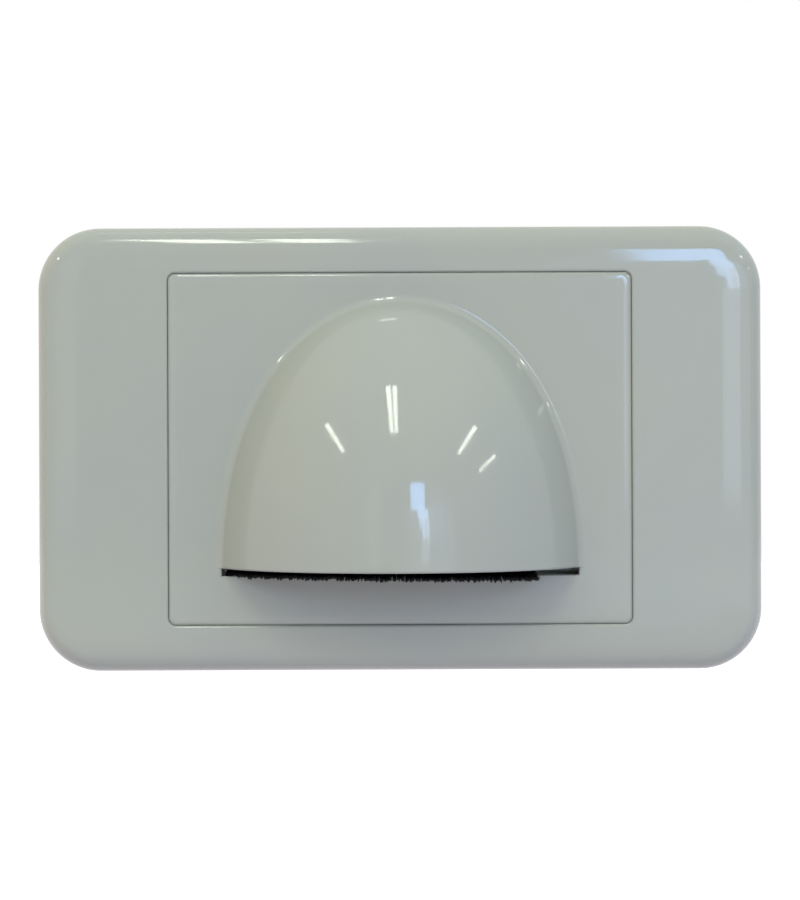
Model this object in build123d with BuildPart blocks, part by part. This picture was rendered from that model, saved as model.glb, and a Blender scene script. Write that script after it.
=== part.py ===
from build123d import *
import math
import os

# Brush cable wall plate: a clip-on surround over a grid plate whose panel carries a
# bullnose hood, with a strip brush across the mouth of the hood.
# Millimetres. X runs to the right, Z up, the front faces -Y and the wall is the plane y = 0.

# Surround
plate_width = 116.0
plate_height = 71.2
plate_depth = 9.0
plate_corner = 10.0
shoulder_radius = 5.0
shoulder_crease = 29.0
crease_round = 0.8
side_draft = 1.0
cover_wall = 2.0
seam_gap = 0.1
aperture_round = 0.4

# Snap catches of the surround, behind the edge of the grid plate
catch_spread = 60.0
catch_length = 8.0
catch_thickness = 1.0
catch_grip = 1.0
catch_play = 0.1
pry_notch_width = 10.0
pry_notch_depth = 1.2

# Grid plate: raised panel, skirt and flange
panel_width = 73.8
panel_height = 56.0
panel_corner = 1.2
panel_round = 0.9
panel_wall = 2.2
skirt_wall = 2.0
hollow_corner = 1.0
flange_thickness = 2.5
flange_clearance = 0.4
screw_centres = 84.0
screw_slot_width = 4.0
screw_slot_length = 6.4

# Bullnose hood, measured at the face of the panel
hood_width = 57.0
hood_height = 42.6
hood_depth = 18.0
hood_wall = 2.0
hood_root_fillet = 1.1
hood_fullness = 0.6
lip_round = 0.4
mouth_level = -19.0
slot_drop = 1.2
slot_inset = 0.1

# Strip brush
channel_length = 49.4
channel_height = 3.2
channel_depth = 3.6
channel_sheet = 0.5
channel_bend = 0.3
channel_step = 0.3
channel_end_gap = 0.5
core_wire_diameter = 1.2
core_wire_play = 0.03
tuft_pitch = 1.0
tuft_width = 0.85
tip_clearance = 0.35
tip_raggedness = 0.5

# Shelf, snap fingers and end walls that hold the brush
shelf_thickness = 1.5
brush_play = 0.1
finger_width = 5.0
finger_thickness = 1.2
finger_hook = 0.8
finger_spacing = 17.0
finger_count = 3
cheek_thickness = 1.2
end_wall_lap = 2.0

def oval_share(width_share):
    """Share of the oval's rise at which its curve has come in to this share of its radius."""
    low = 0.0
    high = 1.0
    for _ in range(60):
        t = (low + high) / 2
        width = (1 - t) ** 3 + 3 * (1 - t) ** 2 * t + 3 * (1 - t) * t**2 * hood_fullness
        if width > width_share:
            low = t
        else:
            high = t
    return 3 * (1 - t) ** 2 * t * hood_fullness + 3 * (1 - t) * t**2 + t**3


# Sizes that follow from those above
cavity_width = plate_width - 2 * cover_wall
cavity_height = plate_height - 2 * cover_wall
cavity_corner = plate_corner - cover_wall
cavity_depth = plate_depth - cover_wall
draft_inset = plate_depth * math.tan(math.radians(side_draft))
face_border = min(plate_width - panel_width, plate_height - panel_height) / 2 - seam_gap
shoulder = min(shoulder_radius, face_border - draft_inset - 2 * aperture_round)
shoulder_crown = shoulder * (1 - math.cos(math.radians(shoulder_crease)))
cavity_bevel = max(shoulder - shoulder_crown - cover_wall, aperture_round)
flange_width = cavity_width - 2 * flange_clearance
flange_height = cavity_height - 2 * flange_clearance
flange_corner = cavity_corner - flange_clearance
rebate_depth = catch_thickness + 2 * catch_play
rebate_height = catch_grip + 2 * catch_play
panel_back = plate_depth - panel_wall
hollow_width = panel_width - 2 * skirt_wall
hollow_height = panel_height - 2 * skirt_wall

# The hood is part of an oval that turns about an upright axis behind the panel's face
hood_radius = ((hood_width / 2) ** 2 + hood_depth**2) / (2 * hood_depth)
hood_setback = hood_radius - hood_depth
hood_rise = hood_height / oval_share(hood_setback / hood_radius)
hood_axis_y = hood_setback - plate_depth
hood_centre = (0, hood_axis_y, mouth_level)
hood_axis = Axis(hood_centre, (0, 0, 1))
slot_width = hood_width - 2 * slot_inset
slot_level = mouth_level - slot_drop

# The brush lies on its shelf, against the back of the panel and close to the slot's left end
shelf_level = slot_level - channel_step
channel_left = channel_end_gap - slot_width / 2
channel_middle = channel_left + channel_length / 2
channel_right = channel_left + channel_length
channel_back = panel_back - channel_depth
bundle_level = shelf_level + channel_sheet
bundle_height = channel_height - 2 * channel_sheet
wire_level = bundle_level + bundle_height / 2
wire_setback = channel_back + channel_sheet + bundle_height / 2

# Faces and edges count as lying on a plane within this distance
position_tolerance = 0.01

# Upright planes that face the front, at the wall, behind the panel and on its face
wall_plane = Plane.XZ
panel_back_plane = Plane.XZ.offset(panel_back)
face_plane = Plane.XZ.offset(plate_depth)


def at_level(shapes, axis, level):
    """Those of the faces, edges or corners that lie at this level along the axis."""
    return shapes.filter_by_position(axis, level - position_tolerance, level + position_tolerance)


def lip_reach(x, play):
    """Distance from the wall to the inside of the hood's lip at this x, less the play."""
    inner = hood_radius - hood_wall - play
    return math.sqrt(max(inner**2 - x**2, 0)) - hood_axis_y


def quarter_oval(radius, rise):
    """Smooth curve from the front of the hood at the mouth plane to the hood's axis, this rise above it."""
    front = hood_axis_y - radius
    return Bezier(
        (front, mouth_level),
        (front, mouth_level + hood_fullness * rise),
        (hood_axis_y - hood_fullness * radius, mouth_level + rise),
        (hood_axis_y, mouth_level + rise),
    )


def ragged(index):
    """Share of the raggedness, 0 to 1, that shortens this tuft."""
    return 0.5 + 0.3 * math.sin(2.4 * index) + 0.2 * math.sin(5.1 * index + 1)


os.makedirs("parts", exist_ok=True)


# Surround: drafted shell with an aperture for the panel. Its shoulder is cut off by the face at a soft crease
with BuildPart() as surround:
    with BuildSketch(wall_plane):
        RectangleRounded(plate_width, plate_height, plate_corner)
    extrude(amount=plate_depth + shoulder_crown, taper=side_draft)
    fillet(surround.faces().sort_by(Axis.Y)[0].edges(), shoulder)
    split(bisect_by=face_plane, keep=Keep.BOTTOM)
    fillet(surround.faces().sort_by(Axis.Y)[0].edges(), crease_round)
    with BuildSketch(wall_plane):
        RectangleRounded(cavity_width, cavity_height, cavity_corner)
    extrude(amount=cavity_depth, taper=side_draft, mode=Mode.SUBTRACT)
    chamfer(at_level(surround.faces(), Axis.Y, -cavity_depth).edges(), cavity_bevel)
    with BuildSketch(wall_plane):
        RectangleRounded(panel_width + 2 * seam_gap, panel_height + 2 * seam_gap, panel_corner + seam_gap)
    extrude(amount=plate_depth, mode=Mode.SUBTRACT)
    fillet(surround.faces().sort_by(Axis.Y)[0].inner_wires()[0].edges(), aperture_round)

    # Catches on the upper and lower walls, bevelled towards the wall so that they ride over the flange
    catch_root = cavity_height / 2 + cover_wall / 2
    catch_tip = flange_height / 2 - catch_grip
    catch_front = catch_play + catch_thickness
    for x in (-catch_spread / 2, catch_spread / 2):
        with BuildSketch(Plane.YZ.offset(x)):
            with BuildLine():
                Polyline(
                    (-catch_front, catch_root),
                    (-catch_front, catch_tip),
                    (-catch_front + catch_thickness / 2, catch_tip),
                    (-catch_play, catch_tip + catch_grip),
                    (-catch_play, catch_root),
                    close=True,
                )
            make_face()
            mirror(about=Plane.XZ)
        extrude(amount=catch_length / 2, both=True)

    # Notch in the lower rim for prying the surround off
    with BuildSketch(wall_plane):
        with Locations((0, -plate_height / 2)):
            Rectangle(pry_notch_width, 2 * cover_wall + 2 * flange_clearance)
    extrude(amount=pry_notch_depth, mode=Mode.SUBTRACT)
surround.part.label = "surround"
export_step(surround.part, "parts/surround.step")


# Outside of the hood: the whole oval, turned about the hood's axis
with BuildPart() as hood_form:
    with BuildSketch(Plane.YZ):
        with BuildLine():
            quarter_oval(hood_radius, hood_rise)
            quarter_oval(hood_radius, -hood_rise)
            Line((hood_axis_y, mouth_level - hood_rise), (hood_axis_y, mouth_level + hood_rise))
        make_face()
    revolve(axis=hood_axis)
    split(bisect_by=panel_back_plane, keep=Keep.TOP)


# Hollow of the hood: the upper half of the oval less the wall
with BuildPart() as hood_core:
    with BuildSketch(Plane.YZ):
        with BuildLine():
            quarter_oval(hood_radius - hood_wall, hood_rise - hood_wall)
            Polyline(
                (hood_axis_y, mouth_level + hood_rise - hood_wall),
                (hood_axis_y, mouth_level),
                (hood_axis_y - hood_radius + hood_wall, mouth_level),
            )
        make_face()
    revolve(axis=hood_axis)


# Ring that rounds the outer edge of the lip
with BuildPart() as lip_ring:
    with BuildSketch(Plane.YZ):
        with Locations((hood_axis_y - hood_radius + lip_round, mouth_level + lip_round)):
            Rectangle(2 * lip_round, 2 * lip_round, align=(Align.MAX, Align.MAX))
            Circle(lip_round, mode=Mode.SUBTRACT)
    revolve(axis=hood_axis)
    split(bisect_by=face_plane, keep=Keep.TOP)


# Grid plate: the panel, its hood, the flange on the wall and the shelf for the brush are one moulding
with BuildPart() as hood_plate:
    # The whole form stands on a slab first, so that its root fillet runs round unbroken
    add(hood_form.part)
    with BuildSketch(panel_back_plane):
        with Locations((0, mouth_level)):
            Rectangle(2 * hood_width, 3 * hood_height)
    extrude(amount=panel_wall)
    face_edges = at_level(hood_plate.edges(), Axis.Y, -plate_depth)
    fillet(face_edges.filter_by(GeomType.LINE, reverse=True), hood_root_fillet)

    # The mouth plane takes off the lower half, and the panel's outline takes off the rest of the slab
    with BuildSketch(face_plane):
        with Locations((0, mouth_level)):
            Rectangle(2 * hood_width, 3 * hood_height, align=(Align.CENTER, Align.MAX))
    extrude(amount=2 * hood_depth, mode=Mode.SUBTRACT)
    with BuildSketch(wall_plane):
        RectangleRounded(panel_width, panel_height, panel_corner)
    extrude(amount=plate_depth + 2 * hood_depth, mode=Mode.INTERSECT)
    panel_face = at_level(hood_plate.faces(), Axis.Y, -plate_depth).sort_by(SortBy.AREA)[-1]
    fillet(panel_face.outer_wire().edges(), panel_round)

    # Inside of the hood, open through the panel, and the slot below the mouth
    add(hood_core.part, mode=Mode.SUBTRACT)
    add(lip_ring.part, mode=Mode.SUBTRACT)
    with BuildSketch(panel_back_plane):
        with Locations((0, mouth_level)):
            Rectangle(slot_width, slot_drop, align=(Align.CENTER, Align.MAX))
    extrude(amount=panel_wall, mode=Mode.SUBTRACT)

    # Skirt from the panel back to the wall, and the flange with its two screw slots
    with BuildSketch(wall_plane):
        RectangleRounded(panel_width, panel_height, panel_corner)
        RectangleRounded(hollow_width, hollow_height, hollow_corner, mode=Mode.SUBTRACT)
    extrude(amount=panel_back)
    with BuildSketch(wall_plane):
        RectangleRounded(flange_width, flange_height, flange_corner)
        RectangleRounded(hollow_width, hollow_height, hollow_corner, mode=Mode.SUBTRACT)
        with GridLocations(screw_centres, 0, 2, 1):
            SlotOverall(screw_slot_length, screw_slot_width, mode=Mode.SUBTRACT)
    extrude(amount=flange_thickness)

    # Rebates behind the flange's edge for the surround's catches
    with BuildSketch(wall_plane):
        with GridLocations(catch_spread, flange_height, 2, 2):
            Rectangle(catch_length + 4 * catch_play, 2 * rebate_height)
    extrude(amount=rebate_depth, mode=Mode.SUBTRACT)

    # Shelf with an end cheek on each side
    finger_front = channel_back - brush_play
    cheek_height = channel_height + brush_play
    cheek_line = (slot_width + cheek_thickness) / 2
    hook_level = shelf_level + cheek_height
    shelf_depth = panel_back - finger_front + finger_thickness
    with BuildSketch(panel_back_plane):
        with Locations((0, shelf_level)):
            Rectangle(slot_width + 2 * cheek_thickness, shelf_thickness, align=(Align.CENTER, Align.MAX))
        with GridLocations(2 * cheek_line, 0, 2, 1):
            with Locations((0, shelf_level)):
                Rectangle(cheek_thickness, cheek_height, align=(Align.CENTER, Align.MIN))
    extrude(amount=-shelf_depth)

    # Walls behind both ends of the brush, and a roof and a front that close the pocket beside its right end
    left_wall = channel_left + end_wall_lap + cheek_line
    right_wall = cheek_line - channel_right + end_wall_lap
    with BuildSketch(Plane.XZ.offset(finger_front)):
        with Locations((-cheek_line, shelf_level)):
            Rectangle(left_wall, cheek_height, align=(Align.MIN, Align.MIN))
        with Locations((cheek_line, shelf_level)):
            Rectangle(right_wall, cheek_height, align=(Align.MAX, Align.MIN))
    extrude(amount=-finger_thickness)
    with BuildSketch(panel_back_plane):
        with Locations((cheek_line + cheek_thickness / 2, hook_level)):
            Rectangle(right_wall + cheek_thickness / 2, finger_thickness, align=(Align.MAX, Align.MIN))
    extrude(amount=-shelf_depth)
    pocket_left = channel_right + channel_end_gap
    with BuildSketch(panel_back_plane):
        with Locations((pocket_left, mouth_level)):
            Rectangle(cheek_line - pocket_left, hook_level - mouth_level, align=(Align.MIN, Align.MIN))
    extrude(amount=-finger_thickness)

    # Snap fingers behind and over the brush
    for index in range(finger_count):
        x = channel_middle + (index - (finger_count - 1) / 2) * finger_spacing
        with BuildSketch(Plane.YZ.offset(x)):
            with BuildLine():
                Polyline(
                    (-finger_front, shelf_level - shelf_thickness / 2),
                    (-finger_front, hook_level),
                    (-finger_front - finger_hook, hook_level),
                    (-finger_front - finger_hook, hook_level + finger_hook / 2),
                    (-finger_front, hook_level + 1.5 * finger_hook),
                    (-finger_front + finger_thickness, hook_level + 1.5 * finger_hook),
                    (-finger_front + finger_thickness, shelf_level - shelf_thickness / 2),
                    close=True,
                )
            make_face()
        extrude(amount=finger_width / 2, both=True)
hood_plate.part.label = "hood_plate"
export_step(hood_plate.part, "parts/hood_plate.step")


# Brush channel: strip folded to a U that opens towards the front
with BuildPart() as brush_channel:
    with BuildSketch(Plane.YZ.offset(channel_left)) as channel_section:
        with Locations((-panel_back, shelf_level)):
            Rectangle(channel_depth, channel_height, align=(Align.MIN, Align.MIN))
        fillet(channel_section.vertices().group_by(Axis.X)[-1], channel_sheet + channel_bend)
        with Locations((-panel_back, bundle_level)):
            Rectangle(
                channel_depth - channel_sheet,
                bundle_height,
                align=(Align.MIN, Align.MIN),
                mode=Mode.SUBTRACT,
            )
        inner_corners = at_level(channel_section.vertices(), Axis.X, -channel_back - channel_sheet)
        fillet(inner_corners, channel_bend)
    extrude(amount=channel_length)
brush_channel.part.label = "brush_channel"
export_step(brush_channel.part, "parts/brush_channel.step")


# Core wire, along the back of the channel
with BuildPart() as brush_core_wire:
    with BuildSketch(Plane.YZ.offset(channel_left)):
        with Locations((-wire_setback, wire_level)):
            Circle(core_wire_diameter / 2)
    extrude(amount=channel_length)
brush_core_wire.part.label = "brush_core_wire"
export_step(brush_core_wire.part, "parts/brush_core_wire.step")


# Bristles: folded round the core wire, and spread in tufts that end along the inside of the lip
with BuildPart() as brush_bristles:
    with BuildSketch(Plane.YZ.offset(channel_left)):
        with Locations((-wire_setback, wire_level)):
            Circle(bundle_height / 2)
            Rectangle(panel_back - wire_setback, bundle_height, align=(Align.MAX, Align.CENTER))
            Circle(core_wire_diameter / 2 + core_wire_play, mode=Mode.SUBTRACT)
    extrude(amount=channel_length)
    with BuildSketch(Plane.XY.offset(bundle_level)):
        for index in range(int(channel_length / tuft_pitch)):
            x = channel_left + (index + 0.5) * tuft_pitch
            reach = lip_reach(abs(x) + tuft_width / 2, tip_clearance) - tip_raggedness * ragged(index)
            if reach > plate_depth:
                with Locations((x, -wire_setback - core_wire_diameter)):
                    length = reach - wire_setback - core_wire_diameter
                    Rectangle(tuft_width, length, align=(Align.CENTER, Align.MAX))
    extrude(amount=bundle_height)
brush_bristles.part.label = "brush_bristles"
export_step(brush_bristles.part, "parts/brush_bristles.step")
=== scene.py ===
"""Looks of a brush cable wall plate: two gloss mouldings, a strip brush, studio light and the camera.

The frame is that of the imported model, in metres: +X to the right, +Z up, the front towards -Y and the
wall at y = 0. Sizes below are in millimetres unless a name says otherwise, and the mesh builder turns
them to metres. A depth is a distance in front of the wall.
"""

import logging
import math
import random
from dataclasses import dataclass, field, replace
from enum import Enum
from typing import Any, Callable, Iterable, Sequence

import bmesh
import bpy
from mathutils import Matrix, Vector

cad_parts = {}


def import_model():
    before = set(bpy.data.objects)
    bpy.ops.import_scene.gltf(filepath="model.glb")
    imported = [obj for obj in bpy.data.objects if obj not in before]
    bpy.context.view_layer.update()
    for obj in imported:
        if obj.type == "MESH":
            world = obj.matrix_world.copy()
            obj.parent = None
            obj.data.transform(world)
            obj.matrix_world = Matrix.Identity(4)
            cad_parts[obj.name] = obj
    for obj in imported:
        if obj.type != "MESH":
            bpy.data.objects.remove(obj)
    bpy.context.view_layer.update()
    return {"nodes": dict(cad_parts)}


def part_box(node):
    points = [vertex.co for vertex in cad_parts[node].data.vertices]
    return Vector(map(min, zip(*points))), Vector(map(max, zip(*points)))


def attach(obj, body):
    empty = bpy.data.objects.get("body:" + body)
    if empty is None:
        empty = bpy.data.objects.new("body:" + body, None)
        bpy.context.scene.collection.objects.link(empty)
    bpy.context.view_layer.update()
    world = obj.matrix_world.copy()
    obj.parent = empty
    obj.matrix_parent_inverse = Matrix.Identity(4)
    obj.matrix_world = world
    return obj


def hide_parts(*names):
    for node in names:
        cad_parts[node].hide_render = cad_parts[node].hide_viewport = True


LOG = logging.getLogger("wall_plate")

# Metres in a millimetre
MM = 0.001

Point = tuple[float, float, float]
Row = Sequence[bmesh.types.BMVert]


class Slot(Enum):
    """Names of the record's material slots for the mouldings and the bristles."""

    MOULDING = "white_moulding"
    BRISTLE = "black_bristle"


class Cut(Enum):
    """How one mesh is put together with others."""

    AWAY = "DIFFERENCE"
    JOIN = "UNION"


def linear(hex_colour: str) -> tuple[float, float, float, float]:
    """Turn an sRGB hex colour into linear light.

    Args:
        hex_colour: Six hex digits after a hash sign.

    Returns:
        Red, green, blue and an alpha of one.
    """
    shares = [int(hex_colour[i : i + 2], 16) / 255 for i in (1, 3, 5)]
    light = [s / 12.92 if s <= 0.04045 else ((s + 0.055) / 1.055) ** 2.4 for s in shares]
    return (*light, 1.0)


def add_node(
    tree: bpy.types.NodeTree,
    kind: str,
    settings: dict[str | int, Any] | None = None,
    stops: Iterable[tuple[float, str]] = (),
) -> bpy.types.Node:
    """Add a shader node, set its properties and fill its sockets.

    Args:
        tree: The node tree that the node goes into.
        kind: Blender's name for the kind of node.
        settings: A value or a source socket for each input, by name or number, and the node's properties.
        stops: Places and sRGB hex colours of a colour ramp, in order.

    Returns:
        The new node.
    """
    node = tree.nodes.new(kind)
    for name, value in (settings or {}).items():
        if isinstance(value, bpy.types.NodeSocket):
            tree.links.new(value, node.inputs[name])
        elif isinstance(name, int) or name in node.inputs:
            node.inputs[name].default_value = value
        else:
            setattr(node, name, value)
    for i, (place, colour) in enumerate(stops):
        ramp = node.color_ramp.elements
        stop = ramp[i] if i < len(ramp) else ramp.new(place)
        stop.position = place
        stop.color = linear(colour)
    return node


def fresh_tree(owner: bpy.types.Material | bpy.types.World) -> bpy.types.NodeTree:
    """Switch on the nodes of a material or a world and empty its tree.

    Args:
        owner: The new material or world.

    Returns:
        The empty node tree.
    """
    owner.use_nodes = True
    owner.node_tree.nodes.clear()
    return owner.node_tree


def put_in_scene(name: str, data: bpy.types.ID) -> bpy.types.Object:
    """Make an object of a mesh, a lamp or a camera and link it to the scene.

    Args:
        name: Name of the object.
        data: What the object shows.

    Returns:
        The new object.
    """
    made = bpy.data.objects.new(name, data)
    bpy.context.scene.collection.objects.link(made)
    return made


class MeshBuilder:
    """Collects points in millimetres and faces, and makes a Blender object in metres of them."""

    def __init__(self, name: str) -> None:
        """Start an empty mesh with this name."""
        self.name = name
        self.mesh = bmesh.new()

    def point(self, place: Sequence[float]) -> bmesh.types.BMVert:
        """Add one point, given in millimetres."""
        return self.mesh.verts.new(Vector(place) * MM)

    def row(self, places: Iterable[Sequence[float]]) -> list[bmesh.types.BMVert]:
        """Add a row of points, given in millimetres."""
        return [self.point(place) for place in places]

    def face(self, corners: Row) -> None:
        """Add a face, leaving out corners that repeat their neighbour.

        Args:
            corners: The points of the face in order.
        """
        kept = [v for i, v in enumerate(corners) if v is not corners[i - 1]]
        if len(kept) > 2:
            self.mesh.faces.new(kept)

    def loft(self, rows: Sequence[Row], closed: bool = True) -> None:
        """Join rows of points in order by strips of four-sided faces.

        Args:
            rows: Rows with as many points each.
            closed: Whether the rows are rings.
        """
        for low, high in zip(rows, rows[1:]):
            for i in range(len(low) if closed else len(low) - 1):
                j = (i + 1) % len(low)
                self.face((low[i], low[j], high[j], high[i]))

    def capped_loft(self, rings: Sequence[Row]) -> None:
        """Join rings of points in order and close both ends.

        Args:
            rings: Rings with as many points each.
        """
        self.loft(rings)
        self.face(rings[0])
        self.face(rings[-1])

    def object(self) -> bpy.types.Object:
        """Finish the mesh with its faces turned outwards.

        Returns:
            The new object, linked to the scene.
        """
        bmesh.ops.recalc_face_normals(self.mesh, faces=self.mesh.faces)
        data = bpy.data.meshes.new(self.name)
        self.mesh.to_mesh(data)
        self.mesh.free()
        return put_in_scene(self.name, data)


def arc(steps: int, start: float = 0.0, end: float = 90.0) -> list[float]:
    """Angles in radians, evenly spaced, from start to end in degrees."""
    return [math.radians(start + (end - start) * i / steps) for i in range(steps + 1)]


@dataclass(frozen=True)
class RoundedRing:
    """Ring of points on a rectangle with rounded corners, upright and parallel to the wall."""

    half_width: float
    half_height: float
    corner: float
    depth: float

    def inset(self, amount: float, depth: float) -> "RoundedRing":
        """The ring this much further in, at another depth."""
        return RoundedRing(self.half_width - amount, self.half_height - amount, self.corner - amount, depth)

    def points(self, corner_steps: int) -> list[Point]:
        """Points round the ring, from its right side over the top.

        Args:
            corner_steps: How many steps each corner has.

        Returns:
            The points in order.
        """
        places = []
        for quarter in range(4):
            side_x = 1 if quarter in (0, 3) else -1
            side_z = 1 if quarter in (0, 1) else -1
            for angle in arc(corner_steps, 90 * quarter, 90 * quarter + 90):
                x = side_x * (self.half_width - self.corner) + self.corner * math.cos(angle)
                z = side_z * (self.half_height - self.corner) + self.corner * math.sin(angle)
                places.append((x, -self.depth, z))
        return places


def block(name: str, low: Point, high: Point) -> bpy.types.Object:
    """Box to cut with or to join on.

    Args:
        name: Name of the object.
        low: Its lowest corner.
        high: Its highest corner.

    Returns:
        The box.
    """
    outline = ((low[0], low[2]), (high[0], low[2]), (high[0], high[2]), (low[0], high[2]))
    builder = MeshBuilder(name)
    builder.capped_loft([builder.row([(x, y, z) for x, z in outline]) for y in (low[1], high[1])])
    return builder.object()


def cross_bar(
    name: str, outline: Sequence[tuple[float, float]], middle: float, length: float
) -> bpy.types.Object:
    """Bar along X with a section drawn in (y, z), to join on.

    Args:
        name: Name of the object.
        outline: Corners of the section.
        middle: Middle of the bar in x.
        length: Length of the bar.

    Returns:
        The bar.
    """
    builder = MeshBuilder(name)
    ends = (middle - length / 2, middle + length / 2)
    builder.capped_loft([builder.row([(x, y, z) for y, z in outline]) for x in ends])
    return builder.object()


def combine(target: bpy.types.Object, how: Cut, tools: Sequence[bpy.types.Object]) -> None:
    """Cut tools out of a mesh or join them to it, and delete the tools.

    Args:
        target: The object whose mesh is changed.
        how: Whether the tools are cut away or joined on.
        tools: Closed meshes.
    """
    group = bpy.data.collections.new("tools")
    for tool in tools:
        group.objects.link(tool)
    change = target.modifiers.new("combine", "BOOLEAN")
    change.operation = how.value
    change.solver = "EXACT"
    change.operand_type = "COLLECTION"
    change.collection = group
    settle(target)
    for tool in tools:
        bpy.data.objects.remove(tool)
    bpy.data.collections.remove(group)


def settle(target: bpy.types.Object) -> None:
    """Apply all of an object's modifiers to its mesh.

    Args:
        target: The object.
    """
    graph = bpy.context.evaluated_depsgraph_get()
    settled = bpy.data.meshes.new_from_object(target.evaluated_get(graph))
    target.modifiers.clear()
    old = target.data
    target.data = settled
    bpy.data.meshes.remove(old)
    settled.name = target.name


def shade(target: bpy.types.Object, crease_deg: float = 35.0) -> None:
    """Shade a moulding smooth, with its flat faces kept flat.

    Args:
        target: The moulding.
        crease_deg: Edges that turn by more than this stay sharp.
    """
    target.data.shade_smooth()
    target.data.set_sharp_from_angle(angle=math.radians(crease_deg))
    weighting = target.modifiers.new("flat faces stay flat", "WEIGHTED_NORMAL")
    weighting.keep_sharp = True
    settle(target)


@dataclass(frozen=True)
class ProfileArc:
    """Arc of a rounded profile, which ends where the surface is tilted this much from the face."""

    radius: float
    end_deg: float
    steps: int


def profile_path(parts: Sequence[ProfileArc], start_deg: float = 0.0) -> list[tuple[float, float]]:
    """Distance outwards and drop along a rounded profile, from the flat of a face to its side.

    Args:
        parts: The arcs of the profile, from the flat outwards.
        start_deg: Tilt at which the first arc starts.

    Returns:
        Pairs of distance and drop.
    """
    path = [(0.0, 0.0)]
    for part in parts:
        out, drop = path[-1]
        start = math.radians(start_deg)
        for tilt in arc(part.steps, start_deg, part.end_deg)[1:]:
            further = part.radius * (math.sin(tilt) - math.sin(start))
            lower = part.radius * (math.cos(start) - math.cos(tilt))
            path.append((out + further, drop + lower))
        start_deg = part.end_deg
    return path


@dataclass
class Panel:
    """Raised panel of the grid plate, which fills the surround's aperture."""

    width: float = 73.8
    height: float = 56.0
    corner: float = 1.2
    # A soft crown first, and then the round of the edge
    edge: tuple[ProfileArc, ...] = (ProfileArc(9.6, 7.1, 6), ProfileArc(0.75, 62.0, 10))
    # Growth of the corner for each millimetre in from the outline
    corner_softness: float = 0.4
    wall: float = 2.2
    seam: float = 0.03

    def ring(self, depth: float) -> RoundedRing:
        """Outline of the panel at this depth."""
        return RoundedRing(self.width / 2, self.height / 2, self.corner, depth)

    def aperture(self, depth: float) -> RoundedRing:
        """Outline of the surround's aperture at this depth."""
        return self.ring(depth).inset(-self.seam, depth)


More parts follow.
